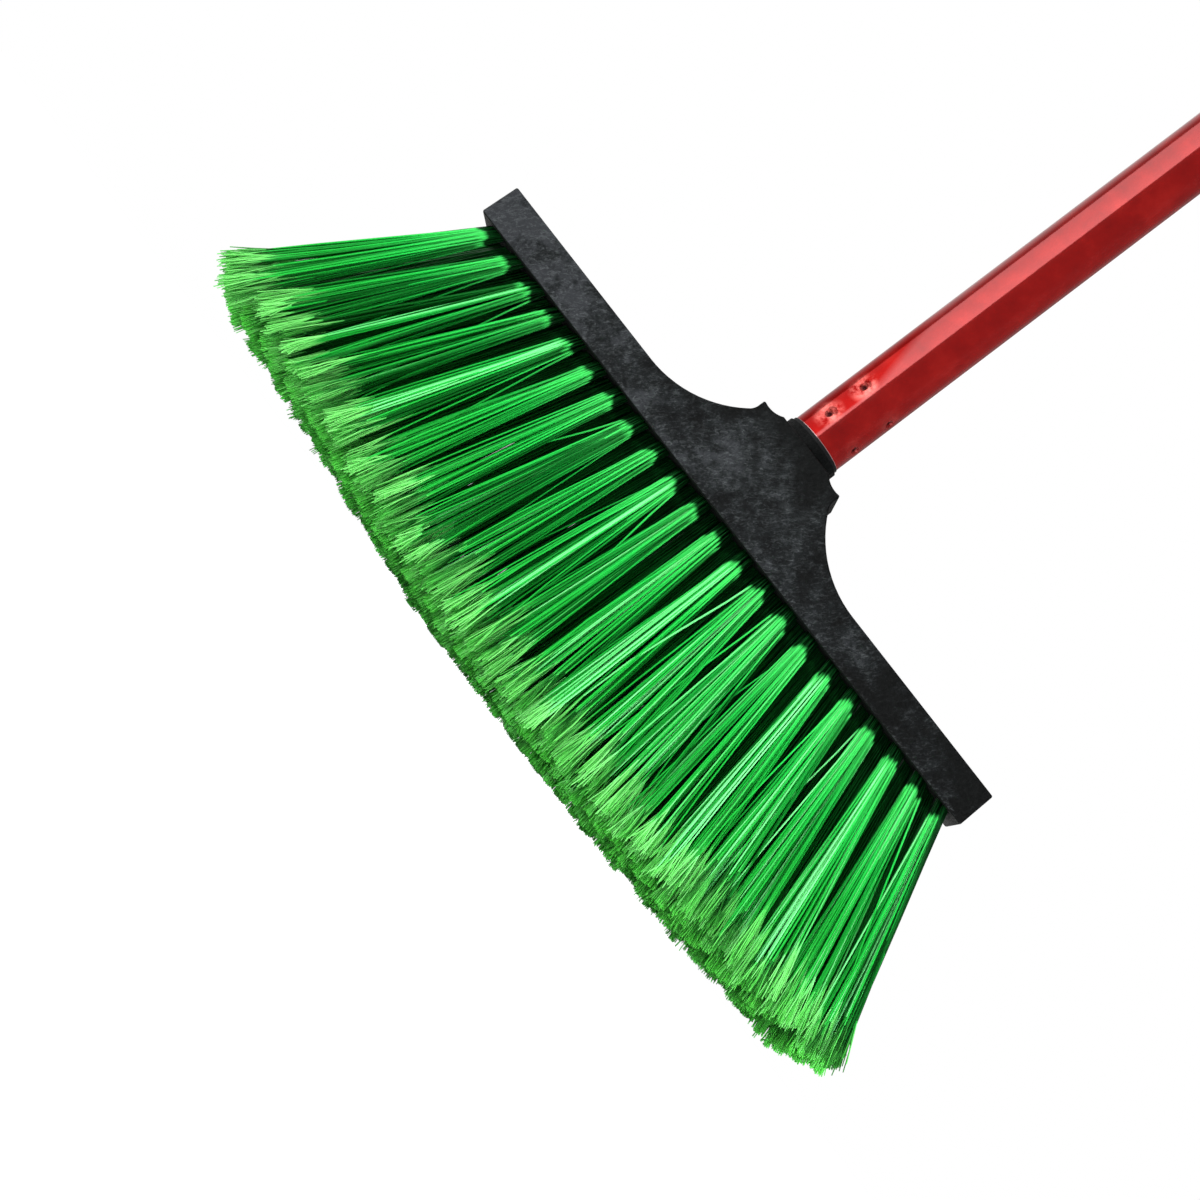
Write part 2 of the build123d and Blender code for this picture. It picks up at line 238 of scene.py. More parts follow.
def redLacquer():
    # Clear red coat over drawn steel tube: glossy, with the steel under it tinting what it mirrors,
    # and dull and drawn in round each stake mark, with a pale pink painted highlight round the
    # marks on the lit side and dark painted shade in their middles
    material, tree = newMaterial("redLacquer")
    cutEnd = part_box("handle_tube")[0].z
    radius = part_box("handle_tube")[1].x
    place = addNode(tree, "ShaderNodeTexCoord").outputs["Object"]
    axes = addNode(tree, "ShaderNodeSeparateXYZ", {"Vector": place}).outputs
    mottle = addNode(tree, "ShaderNodeTexNoise", {
        "Vector": place, "Scale": perSize(coatLook["mottleSize"]), "Detail": 5.0, "Roughness": 0.6})
    red = addNode(tree, "ShaderNodeValToRGB", {"Fac": mottle}, stops=coatLook["red"])
    bare = addNode(tree, "ShaderNodeMath", {0: axes["Z"], 1: cutEnd + coatLook["bareEnd"] * mm},
                   operation="LESS_THAN")
    ended = addNode(tree, "ShaderNodeMix", {
        "Factor": bare, "A": red, "B": hexColour(coatLook["steel"])}, data_type="RGBA")

    # How far a point is from the nearest stake mark, round the wall and along it
    front = addNode(tree, "ShaderNodeMath", {0: axes["Y"], 1: -1.0}, operation="MULTIPLY")
    turn = addNode(tree, "ShaderNodeMath", {0: axes["X"], 1: front}, operation="ARCTAN2")
    first = math.radians(coatLook["firstStake"])
    half = math.pi / coatLook["stakes"]
    nearest = addNode(tree, "ShaderNodeMath", {0: turn, 1: first + half, 2: first - half},
                      operation="WRAP")
    around = addNode(tree, "ShaderNodeMath", {0: nearest, 1: radius, 2: -first * radius},
                     operation="MULTIPLY_ADD")
    lowRow, highRow = (cutEnd + row * mm for row in coatLook["stakeRows"])
    between = addNode(tree, "ShaderNodeMath", {0: axes["Z"], 1: 0.5 * (lowRow + highRow)},
                      operation="SUBTRACT")
    fromMiddle = addNode(tree, "ShaderNodeMath", {0: between}, operation="ABSOLUTE")
    upward = addNode(tree, "ShaderNodeMath", {0: fromMiddle, 1: 0.5 * (highRow - lowRow)},
                     operation="SUBTRACT")
    apart = addNode(tree, "ShaderNodeCombineXYZ", {"X": around, "Y": upward})
    away = addNode(tree, "ShaderNodeVectorMath", {0: apart}, operation="LENGTH")

    # The wall drawn in at the marks and opened at the end, under a coat with a little orange peel
    wall = addNode(tree, "ShaderNodeMapRange", {
        "Value": away, "From Max": coatLook["dentReach"] * mm}, interpolation_type="SMOOTHSTEP")
    flare = addNode(tree, "ShaderNodeMapRange", {
        "Value": axes["Z"], "From Min": cutEnd, "From Max": cutEnd + coatLook["flareReach"] * mm,
        "To Min": coatLook["flareDepth"] / coatLook["dentDepth"], "To Max": 0.0})
    shaped = addNode(tree, "ShaderNodeMath", {0: wall, 1: flare}, operation="ADD")
    dented = addNode(tree, "ShaderNodeBump", {
        "Height": shaped, "Strength": 1.0, "Distance": coatLook["dentDepth"] * mm})
    peel = addNode(tree, "ShaderNodeTexNoise", {
        "Vector": place, "Scale": perSize(coatLook["peelSize"]), "Detail": 2.0})
    peeled = addNode(tree, "ShaderNodeBump", {
        "Height": peel, "Strength": 0.06, "Distance": coatLook["peelDepth"] * mm, "Normal": dented})

    # Pale pink painted highlight in patches round the marks, most on the lit side, and painted
    # shade in the marks' middles
    markNoise = addNode(tree, "ShaderNodeTexNoise", {
        "Vector": place, "Scale": perSize(coatLook["highlightSize"]), "Detail": 5.0, "Roughness": 0.65})
    highlightPatches = addNode(tree, "ShaderNodeMapRange", {
        "Value": markNoise, "From Min": coatLook["highlightPatches"][0], "From Max": coatLook["highlightPatches"][1],
        "To Max": coatLook["highlightShare"]})
    byMark = addNode(tree, "ShaderNodeMapRange", {
        "Value": away, "From Min": coatLook["highlightReach"][0] * mm,
        "From Max": coatLook["highlightReach"][1] * mm, "To Min": 1.0, "To Max": 0.0},
                     interpolation_type="SMOOTHSTEP")
    pastFirst = addNode(tree, "ShaderNodeMath", {0: turn, 1: first}, operation="SUBTRACT")
    litFrom, litTo = (math.radians(side) for side in coatLook["litSide"])
    onLitSide = addNode(tree, "ShaderNodeMapRange", {
        "Value": pastFirst, "From Min": litFrom, "From Max": litTo,
        "To Min": 1.0, "To Max": coatLook["unlitShare"]})
    highlightHere = addNode(tree, "ShaderNodeMath", {0: highlightPatches, 1: onLitSide}, operation="MULTIPLY")
    highlightShare = addNode(tree, "ShaderNodeMath", {0: highlightHere, 1: byMark}, operation="MULTIPLY")
    markHighlight = addNode(tree, "ShaderNodeMix", {
        "Factor": highlightShare, "A": ended, "B": hexColour(coatLook["markHighlight"])}, data_type="RGBA")
    ragged = addNode(tree, "ShaderNodeMath", {0: markNoise, 1: -coatLook["raggedBy"] * mm, 2: away},
                     operation="MULTIPLY_ADD")
    raggedHalf = 0.5 * coatLook["raggedBy"]
    pressFrom, pressTo = ((reach - raggedHalf) * mm for reach in coatLook["pressReach"])
    # Painted shade in the middle of each stake mark
    inMark = addNode(tree, "ShaderNodeMapRange", {
        "Value": ragged, "From Min": pressFrom, "From Max": pressTo, "To Min": 1.0, "To Max": 0.0})
    dentShade = addNode(tree, "ShaderNodeMix", {
        "Factor": inMark, "A": markHighlight, "B": hexColour(coatLook["dentShade"])}, data_type="RGBA")

    # The clamp that held the tube for staking took most of the shine, further up on the left
    slant = addNode(tree, "ShaderNodeMath", {
        0: axes["X"], 1: coatLook["clampSlant"] * mm / radius, 2: axes["Z"]},
                    operation="MULTIPLY_ADD")
    clear = addNode(tree, "ShaderNodeMapRange", {
        "Value": slant, "From Min": cutEnd + coatLook["clampReach"][0] * mm,
        "From Max": cutEnd + coatLook["clampReach"][1] * mm})
    beside = addNode(tree, "ShaderNodeMapRange", {
        "Value": axes["X"], "From Min": coatLook["clampEdge"][0] * radius,
        "From Max": coatLook["clampEdge"][1] * radius})
    spared = addNode(tree, "ShaderNodeMath", {0: clear, 1: beside}, operation="MAXIMUM")
    glossy = addNode(tree, "ShaderNodeMath", {0: spared, 1: inMark}, operation="SUBTRACT")
    gloss = addNode(tree, "ShaderNodeMapRange", {
        "Value": glossy, "To Min": coatLook["gloss"][0], "To Max": coatLook["gloss"][1]})
    shader = addNode(tree, "ShaderNodeBsdfPrincipled", {
        "Base Color": dentShade, "Metallic": coatLook["metal"], "Roughness": coatLook["roughness"],
        "IOR": 1.47, "Specular IOR Level": gloss, "Normal": peeled})
    addNode(tree, "ShaderNodeOutputMaterial", {"Surface": shader})
    return material


# Plain plastics and the anchors' steel: colours, the size of their pattern in mm, and roughness
nylonLook = {"black": [(0.35, "#040405"), (0.65, "#0b0b0c")], "flowSize": 5.0, "roughness": 0.7,
             "shine": 0.2}
capLook = {"black": [(0.35, "#1b1b1e"), (0.65, "#29292d")], "cloudSize": 4.0,
           "roughness": (0.2, 0.45)}
wireLook = {"grey": [(0.1, "#9a9c9f"), (0.7, "#b4b6b9")], "spangleSize": 0.8, "roughness": 0.42}


def blackNylon():
    # Moulded and turned ferrule: a very dark, dull black with a faint flow pattern
    material, tree = newMaterial("blackNylon")
    place = addNode(tree, "ShaderNodeTexCoord").outputs["Object"]
    flow = addNode(tree, "ShaderNodeTexNoise", {
        "Vector": place, "Scale": perSize(nylonLook["flowSize"]), "Detail": 4.0})
    colour = addNode(tree, "ShaderNodeValToRGB", {"Fac": flow}, stops=nylonLook["black"])
    shader = addNode(tree, "ShaderNodeBsdfPrincipled", {
        "Base Color": colour, "Roughness": nylonLook["roughness"], "IOR": 1.53,
        "Specular IOR Level": nylonLook["shine"]})
    addNode(tree, "ShaderNodeOutputMaterial", {"Surface": shader})
    return material


def glossPolypropylene():
    # Moulded end cap: smoother and shinier than the head, dulled in clouds by handling
    material, tree = newMaterial("glossPolypropylene")
    place = addNode(tree, "ShaderNodeTexCoord").outputs["Object"]
    cloud = addNode(tree, "ShaderNodeTexNoise", {
        "Vector": place, "Scale": perSize(capLook["cloudSize"]), "Detail": 5.0})
    colour = addNode(tree, "ShaderNodeValToRGB", {"Fac": cloud}, stops=capLook["black"])
    rough = addNode(tree, "ShaderNodeMapRange", {
        "Value": cloud, "To Min": capLook["roughness"][0], "To Max": capLook["roughness"][1]})
    shader = addNode(tree, "ShaderNodeBsdfPrincipled", {
        "Base Color": colour, "Roughness": rough, "IOR": 1.49})
    addNode(tree, "ShaderNodeOutputMaterial", {"Surface": shader})
    return material


def galvanisedWire():
    # Flattened zinc-coated wire: dull grey metal with a soft spangle
    material, tree = newMaterial("galvanisedWire")
    place = addNode(tree, "ShaderNodeTexCoord").outputs["Object"]
    spangle = addNode(tree, "ShaderNodeTexVoronoi", {
        "Vector": place, "Scale": perSize(wireLook["spangleSize"])})
    colour = addNode(tree, "ShaderNodeValToRGB", {"Fac": spangle}, stops=wireLook["grey"])
    shader = addNode(tree, "ShaderNodeBsdfPrincipled", {
        "Base Color": colour, "Metallic": 1.0, "Roughness": wireLook["roughness"]})
    addNode(tree, "ShaderNodeOutputMaterial", {"Surface": shader})
    return material


# Bristles. A filament's lot says how deep (0) or pale (1) its green is
bristleLook = {
    # Along a filament: shaded root, shaft, the point where it splits at 0.8, and its flagged end
    "along": [(0.076, "#010a03"), (0.092, "#45d462"), (0.2, "#3ad05a"), (0.35, "#24c24a"),
              (0.6, "#20b03c"), (0.76, "#26b840"), (0.81, "#38c44c"), (0.86, "#58d058"),
              (0.93, "#55d04e"), (0.97, "#5ee050"), (1.0, "#68f058")],
    "rootOpens": (0.088, 0.12), "endStarts": 0.84, "endDiffers": 0.1,  # along, and share at the tip
    "leftPaintedShade": -0.28, "rightPaintedLight": 0.22,  # added to the lots at either end of the head: painted shade at the left, painted light at the right
    "deep": "#04340a", "deepLots": (0.15, 0.58), "deepShare": 0.9,
    "highlightStreak": "#80f898", "streakLots": (0.86, 0.97), "streakShare": 0.95,
    "streakShift": 0.9,  # how far the painted highlight streaks follow the painted shade and light at the ends
    "flagged": "#8aea80", "flagStarts": (0.785, 0.835), "flagLots": (0.25, 0.95), "flagShare": 0.78,
    "tipStarts": 0.94, "tipShare": 0.3,  # along, and what is left of the flagged colour at the tip
    "gap": "#031a08", "innerBelow": 0.15,  # lots below this lie in the shade of the others
    "rootShade": 0.96, "innerOpens": (0.12, 0.45),  # along
    "innerShade": (0.1, 0.55),  # past that, from the middle to the right end
    "sheen": "#48ff70", "shine": 0.35, "roughness": 0.36,
}


def greenFilament():
    # Extruded polypropylene filament: waxy saturated green that shines along its length, with pale
    # painted highlight streaks on some filaments, black painted shade where tufts shade each other,
    # and flagged at the ends, where split fibres scatter light and look pale
    material, tree = newMaterial("greenFilament")
    strand = addNode(tree, "ShaderNodeUVMap", uv_map="strandMap")
    split = addNode(tree, "ShaderNodeSeparateXYZ", {"Vector": strand}).outputs
    lot, along = split["X"], split["Y"]
    place = addNode(tree, "ShaderNodeTexCoord").outputs["Object"]
    sideways = addNode(tree, "ShaderNodeSeparateXYZ", {"Vector": place}).outputs["X"]
    green = addNode(tree, "ShaderNodeValToRGB", {"Fac": along}, stops=bristleLook["along"])

    # Lots differ most along the shaft, less in the tight root and in the split ends
    opened = addNode(tree, "ShaderNodeMapRange", {
        "Value": along, "From Min": bristleLook["rootOpens"][0],
        "From Max": bristleLook["rootOpens"][1]})
    shaft = addNode(tree, "ShaderNodeMapRange", {
        "Value": along, "From Min": bristleLook["endStarts"],
        "To Min": 1.0, "To Max": bristleLook["endDiffers"]})
    shown = addNode(tree, "ShaderNodeMath", {0: opened, 1: shaft}, operation="MULTIPLY")
    # Painted shade towards the left end and painted light towards the right end
    paintedLighting = addNode(tree, "ShaderNodeMapRange", {
        "Value": sideways, "From Min": cadLow.x, "From Max": cadHigh.x,
        "To Min": bristleLook["leftPaintedShade"], "To Max": bristleLook["rightPaintedLight"]})
    pick = addNode(tree, "ShaderNodeMath", {0: lot, 1: paintedLighting}, operation="ADD")
    deepShare = addNode(tree, "ShaderNodeMapRange", {
        "Value": pick, "From Min": bristleLook["deepLots"][0],
        "From Max": bristleLook["deepLots"][1], "To Min": bristleLook["deepShare"], "To Max": 0.0})
    deepPart = addNode(tree, "ShaderNodeMath", {0: deepShare, 1: shown}, operation="MULTIPLY")
    deep = addNode(tree, "ShaderNodeMix", {
        "Factor": deepPart, "A": green, "B": hexColour(bristleLook["deep"])}, data_type="RGBA")
    # Painted highlight: pale streaks on the filaments of the highest lots
    bright = addNode(tree, "ShaderNodeMath", {0: paintedLighting, 1: bristleLook["streakShift"], 2: lot},
                     operation="MULTIPLY_ADD")
    streakShare = addNode(tree, "ShaderNodeMapRange", {
        "Value": bright, "From Min": bristleLook["streakLots"][0],
        "From Max": bristleLook["streakLots"][1], "To Max": bristleLook["streakShare"]})
    streakPart = addNode(tree, "ShaderNodeMath", {0: streakShare, 1: shown}, operation="MULTIPLY")
    streaked = addNode(tree, "ShaderNodeMix", {
        "Factor": streakPart, "A": deep, "B": hexColour(bristleLook["highlightStreak"])}, data_type="RGBA")

    # Pale split ends, but for the last of the tips
    flagged = addNode(tree, "ShaderNodeMapRange", {
        "Value": along, "From Min": bristleLook["flagStarts"][0],
        "From Max": bristleLook["flagStarts"][1]})
    scattered = addNode(tree, "ShaderNodeMapRange", {
        "Value": lot, "From Min": bristleLook["flagLots"][0],
        "From Max": bristleLook["flagLots"][1], "To Max": bristleLook["flagShare"]})
    tipped = addNode(tree, "ShaderNodeMapRange", {
        "Value": along, "From Min": bristleLook["tipStarts"],
        "To Min": 1.0, "To Max": bristleLook["tipShare"]})
    paleEnd = addNode(tree, "ShaderNodeMath", {0: flagged, 1: tipped}, operation="MULTIPLY")
    flagPart = addNode(tree, "ShaderNodeMath", {0: paleEnd, 1: scattered}, operation="MULTIPLY")
    ended = addNode(tree, "ShaderNodeMix", {
        "Factor": flagPart, "A": streaked, "B": hexColour(bristleLook["flagged"])},
                    data_type="RGBA")

    # Filaments that lie in the shade of the others
    inner = addNode(tree, "ShaderNodeMath", {0: lot, 1: bristleLook["innerBelow"]},
                    operation="LESS_THAN")
    innerShade = addNode(tree, "ShaderNodeMapRange", {
        "Value": sideways, "From Min": 0.0, "From Max": cadHigh.x,
        "To Min": bristleLook["innerShade"][0], "To Max": bristleLook["innerShade"][1]})
    shaded = addNode(tree, "ShaderNodeMapRange", {
        "Value": along, "From Min": bristleLook["innerOpens"][0],
        "From Max": bristleLook["innerOpens"][1],
        "To Min": bristleLook["rootShade"], "To Max": innerShade})
    gapShare = addNode(tree, "ShaderNodeMath", {0: inner, 1: shaded}, operation="MULTIPLY")
    gapped = addNode(tree, "ShaderNodeMix", {
        "Factor": gapShare, "A": ended, "B": hexColour(bristleLook["gap"])}, data_type="RGBA")
    shader = addNode(tree, "ShaderNodeBsdfPrincipled", {
        "Base Color": gapped, "Roughness": bristleLook["roughness"], "IOR": 1.5,
        "Specular IOR Level": bristleLook["shine"],
        "Specular Tint": hexColour(bristleLook["sheen"])})
    addNode(tree, "ShaderNodeOutputMaterial", {"Surface": shader})
    return material


tufts = {
    "seed": 11,
    "columns": 22, "rows": 4, "rowSpacing": 8.0, "reach": 118.9,  # mm, as the holes in the head
    "endHole": 0.5,  # mm from an end hole within which a tuft stands in it
    "length": 98.4, "endFan": 25.5, "rowFan": 7.0,  # mm, and degrees at the ends and outer rows
    "filaments": (46, 60, 60, 64), "firstTuft": 1.8,  # by row, and times that in the first column
    "packed": 2.7, "bury": 4.0,  # mm, a tuft's radius in its hole, and how deep it stands
    # Mm lower that the painted root shade reaches at a tuft's sides, and the share of the shaft
    # that this takes
    "rootRound": 5.0, "roundUpTo": 0.25,
    "turnJitter": 0.3,  # radians
    "fan": 1.12,  # how late along its length a tuft opens
    # Bundles in a tuft: how far out they stand, how far apart they part, and how close they draw
    "clumps": 6, "clumpOut": (0.35, 0.85), "part": 1.3, "gather": (0.6, 0.5, 0.5, 0.6),  # by row
    # How bundles differ in lot, in lot at their ends, and in length by mm
    "clumpLot": 0.1, "clumpPale": (-0.55, 0.45), "clumpShort": 1.3,
    "spreadX": 6.0, "spreadY": 5.6, "lean": 1.0,  # mm at the tips
    "frontSpread": 1.4, "backSpread": 1.3, "spreadVary": 0.12,  # times that spread
    "tipJitter": 0.9, "bow": 0.9,  # mm
    # Filaments that stray: their share, their reach in spreads, mm of bow, and lots
    "strays": 0.06, "strayReach": 1.9, "strayBow": 3.0, "strayLots": (0.5, 1.0),
    "leftSplay": 3.0, "splayVary": (0.4, 1.0),  # mm that the first tufts open more, and times that
    "rightSplay": 0.7, "rightShade": 1.5,  # the last column's reach in spreads, and the painted shade on its far side
    # Place and mm worn off at the left end, which sweeps most, and mm less on the first tuft
    "wornLeft": ((-119.0, 2.6), (-110.0, 3.6), (-85.0, 3.6), (-35.0, 0.0)), "firstLess": 3.4,
    "rowShort": (7.0, 3.0, 0.3, 0.0), "lengthJitter": (1.3, 0.4, 0.4, 0.4),  # mm, by row
    # Along the shaft, and mm of radius
    "thickness": ((0.0, 0.42), (0.1, 0.42), (0.3, 0.33), (0.8, 0.33), (1.0, 0.27)),
    "shaftSteps": (0.0, 0.045, 0.1, 0.26, 0.5, 0.75, 1.0), "fibreSteps": (0.0, 0.5, 1.0),
    # Split ends: fibres to a filament, mm that is split, and the change to the right end
    "fibres": 4, "flag": (9.0, 19.5), "flagRight": -1.0, "flagJitter": 3.5, "leastFlag": 2.0,
    "fibreSpread": 0.9, "fibreThick": (0.26, 0.16),  # mm
    "fibreUneven": (1.2, 0.2, 0.2, 0.2), "fibreBend": 0.25,  # by row, times the spread
    # Where the colours take a filament to split, and by row to end
    "splitAlong": 0.8, "endAlong": (0.94, 1.0, 1.0, 1.0),
    "innerLots": (0.0, 0.14), "outerLots": (0.16, 1.0), "darkestLot": -0.2,
    # Painted light: a tuft is paler in its middle, which lies left of its axis, and falls off to
    # painted shade at its sides
    "middlePale": 0.18, "sideFall": 0.33, "brightSide": -0.15,
    "fibreLots": (0.64, 0.68, 0.7, 0.7), "fibreVary": 0.3,  # least by row, and how they differ
    "fibreRight": 0.15, "leastRight": 0.4, "varyRight": 0.2,  # how much less at the right end
}


def tuftPlaces(column):  # every other row stands half a pitch further on
    pitch = 2 * tufts["reach"] / (tufts["columns"] - 1)
    rowReach = tufts["rowSpacing"] * (tufts["rows"] - 1) / 2
    places = []
    for row in range(tufts["rows"]):
        x = -tufts["reach"] + (column + 0.5 * (row % 2)) * pitch
        if x < tufts["reach"] + tufts["endHole"]:
            places.append((x, -rowReach + row * tufts["rowSpacing"]))
    return places


def filamentEnds(row, place, offset, spread, shorter, underside, rng):
    # Root and tip of one filament, and the part of its run sideways that opens late, in mm
    x, y = place
    rowReach = tufts["rowSpacing"] * (tufts["rows"] - 1) / 2
    turnX = math.radians(tufts["endFan"] * x / tufts["reach"])
    turnY = math.radians(tufts["rowFan"] * y / rowReach)
    worn = np.interp(x, *zip(*tufts["wornLeft"])) + tufts["rowShort"][row] + shorter
    first = x < tufts["endHole"] - tufts["reach"]
    if first and row == 0:
        worn -= tufts["firstLess"]
    length = tufts["length"] - worn - abs(rng.normal(0, tufts["lengthJitter"][row]))
    aside = spread * (tufts["spreadX"], tufts["spreadY"]) + rng.normal(0, tufts["tipJitter"], 2)
    if first:
        aside[0] -= tufts["leftSplay"] * max(0.0, -offset[0]) * rng.uniform(*tufts["splayVary"])
    reach = length * math.sin(turnX) + aside[0]
    drop = math.sqrt(length ** 2 - reach ** 2)
    root = np.array([x + offset[0] * tufts["packed"] - tufts["bury"] * math.tan(turnX),
                     y + offset[1] * tufts["packed"] - tufts["bury"] * math.tan(turnY),
                     underside + tufts["bury"]])
    tip = np.array([x + reach, y + drop * math.tan(turnY) + aside[1], underside - drop])
    late = np.append(aside - offset * tufts["packed"], 0.0)
    return root, tip, late


def filamentLine(t, root, tip, late, bow):
    line = root + np.outer(t, tip - root - late) + np.outer(t ** tufts["fan"], late)
    line[:, :2] += np.outer(np.sin(np.pi * t) * t, bow)
    return line


def addStrand(curve, points, radii):
    spline = curve.splines.new("POLY")
    spline.points.add(len(points) - 1)
    flat = np.c_[points * mm, np.ones(len(points))]
    spline.points.foreach_set("co", flat.ravel())
    spline.points.foreach_set("radius", radii)
    spline.use_smooth = True


def columnPiece(column, curve, lots, alongs, material):
    # Tubes along the lines, with a UV map of each point's lot and its place along the filament
    carrier = bpy.data.objects.new("bristleLine", curve)
    mesh = bpy.data.meshes.new_from_object(carrier)
    bpy.data.objects.remove(carrier)
    bpy.data.curves.remove(curve)
    strandMap = np.c_[np.concatenate(lots), np.concatenate(alongs)]
    sides = len(mesh.vertices) // len(strandMap)
    corner = np.empty(len(mesh.loops), int)
    mesh.loops.foreach_get("vertex_index", corner)
    while mesh.uv_layers:
        mesh.uv_layers.remove(mesh.uv_layers[0])
    layer = mesh.uv_layers.new(name="strandMap")
    layer.uv.foreach_set("vector", strandMap[corner // sides].astype(np.float32).ravel())
    mesh.materials.clear()
    mesh.materials.append(material)
    name = f"bristleColumn{column + 1:02d}"
    mesh.name = name
    piece = bpy.data.objects.new(name, mesh)
    bpy.context.scene.collection.objects.link(piece)
    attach(piece, "head")
    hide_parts(f"tuft_column_{column + 1:02d}")
    return len(mesh.polygons)


def bristleColumn(column, underside, material):
    rng = np.random.default_rng(tufts["seed"] + column)
    curve = bpy.data.curves.new("bristleLine", "CURVE")
    curve.dimensions = "3D"
    curve.bevel_depth = mm  # point radii are in mm
    curve.bevel_resolution = 0
    lots, alongs = [], []
    shaftSteps, fibreSteps = np.array(tufts["shaftSteps"]), np.array(tufts["fibreSteps"])
    shaftRadii = np.interp(shaftSteps, *zip(*tufts["thickness"]))
    fibreRadii = np.interp(fibreSteps, (0, 1), tufts["fibreThick"])
    golden = math.pi * (3 - math.sqrt(5))
    lastColumn = column == tufts["columns"] - 1
    for row, place in enumerate(tuftPlaces(column)):
        outer = row in (0, tufts["rows"] - 1)
        rightward = place[0] / tufts["reach"]
        fibreAlong = np.interp(fibreSteps, (0, 1), (tufts["splitAlong"], tufts["endAlong"][row]))
        leastFibreLot = tufts["fibreLots"][row] * (1 - tufts["leastRight"] * max(0.0, rightward))
        fibreVary = tufts["fibreVary"] * (1 - tufts["varyRight"] * max(0.0, rightward))

        # Bundles that the tuft falls into
        clumps = tufts["clumps"]
        clumpTurns = rng.uniform(0, 2 * math.pi) + np.arange(clumps) * 2 * math.pi / clumps
        clumpOuts = rng.uniform(*tufts["clumpOut"], clumps)
        clumpAt = np.c_[clumpOuts * np.cos(clumpTurns), clumpOuts * np.sin(clumpTurns)]
        clumpFlags = rng.uniform(*tufts["flag"], clumps) + tufts["flagRight"] * rightward
        clumpLots = rng.uniform(-tufts["clumpLot"], tufts["clumpLot"], clumps)
        clumpPales = rng.uniform(*tufts["clumpPale"], clumps)
        clumpShorts = abs(rng.normal(0, tufts["clumpShort"], clumps))
        opened = tufts["frontSpread"] if row == 0 else tufts["backSpread"]
        opened += rng.normal(0, tufts["spreadVary"])
        lean = np.array([rng.normal(0, tufts["lean"]) / tufts["spreadX"], 0.0])
        count = round(tufts["filaments"][row] * (tufts["firstTuft"] if column == 0 else 1.0))
        for i in range(count):
            # Where the filament stands in the tuft, and where its bundle takes it
            out = math.sqrt((i + 0.5) / count)
            turn = i * golden + rng.uniform(-tufts["turnJitter"], tufts["turnJitter"])
            offset = np.array([out * math.cos(turn), out * math.sin(turn)])
            clump = int(np.argmin(((clumpAt - offset) ** 2).sum(1)))
            stray = rng.random() < tufts["strays"] and column > 0 and not lastColumn
            spread = offset + (clumpAt[clump] * tufts["part"] - offset) * tufts["gather"][row]
            if stray:
                spread = offset * (tufts["strayReach"], 1.0)
            spread = spread * opened + lean
            if lastColumn:
                spread[0] = min(spread[0], tufts["rightSplay"])
            root, tip, late = filamentEnds(row, place, offset, spread, clumpShorts[clump],
                                           underside, rng)
            bow = rng.normal(0, tufts["strayBow"] if stray else tufts["bow"], 2)
            flag = max(clumpFlags[clump] + rng.normal(0, tufts["flagJitter"]), tufts["leastFlag"])
            splitAt = 1 - flag / tufts["length"]

            # Its lot: deep in the inner rows and on the far side of the last column, as painted
            # shade
            lot = rng.uniform(*tufts["outerLots" if outer else "innerLots"])
            if outer:
                fromBright = abs(offset[0] - tufts["brightSide"])
                lot += tufts["middlePale"] - tufts["sideFall"] * fromBright + clumpLots[clump]
                lot = max(lot, tufts["outerLots"][0])
                if stray:
                    lot = rng.uniform(*tufts["strayLots"])
            shade = tufts["rightShade"] * max(0.0, offset[0]) if lastColumn and outer else 0.0
            lot = max(lot - shade, tufts["darkestLot"])

            # The shaft. At the tuft's sides the painted root shade reaches lower, so the lit root
            # looks round
            addStrand(curve, filamentLine(shaftSteps * splitAt, root, tip, late, bow), shaftRadii)
            lots.append(np.full(len(shaftSteps), lot))
            lower = tufts["rootRound"] / tufts["length"] * offset[0] ** 2
            rounded = lower * np.clip(1 - shaftSteps / tufts["roundUpTo"], 0, 1)
            alongs.append(shaftSteps * tufts["splitAlong"] - rounded)

            # The fibres that its end is split into
            start = filamentLine(np.array([splitAt]), root, tip, late, bow)[0]
            for _ in range(tufts["fibres"]):
                apart = rng.normal(0, tufts["fibreSpread"], 3)
                end = tip + apart * (1, 1, tufts["fibreUneven"][row])
                end[2] = max(end[2], tufts["fibreThick"][1])
                bend = rng.normal(0, tufts["fibreBend"] * tufts["fibreSpread"], 3)
                addStrand(curve, np.array([start, 0.5 * (start + end) + bend, end]), fibreRadii)
                fibreLot = max(lot, leastFibreLot) + clumpPales[clump] - shade
                fibreLot += rng.normal(0, fibreVary) - tufts["fibreRight"] * max(0.0, rightward)
                lots.append(np.full(len(fibreSteps), np.clip(fibreLot, tufts["darkestLot"], 1)))
                alongs.append(fibreAlong)
    return columnPiece(column, curve, lots, alongs, material)


# Stage
stageLook = {
    "floorSize": 12.0, "floorColour": "#e6e6e4",  # m
    "nearGlow": 0.83, "glowReach": (0.27, 0.9),  # strength near the object, and m to full white
    "room": 0.1,  # light of the room on all but shines
    "shineLeft": 0.3, "shineBehind": 0.9, "shineRight": 0.25,  # what shines show of it
    "wallFrom": (0.2, 0.5), "rightFrom": (-0.1, 0.15),  # a direction's parts back and right
}


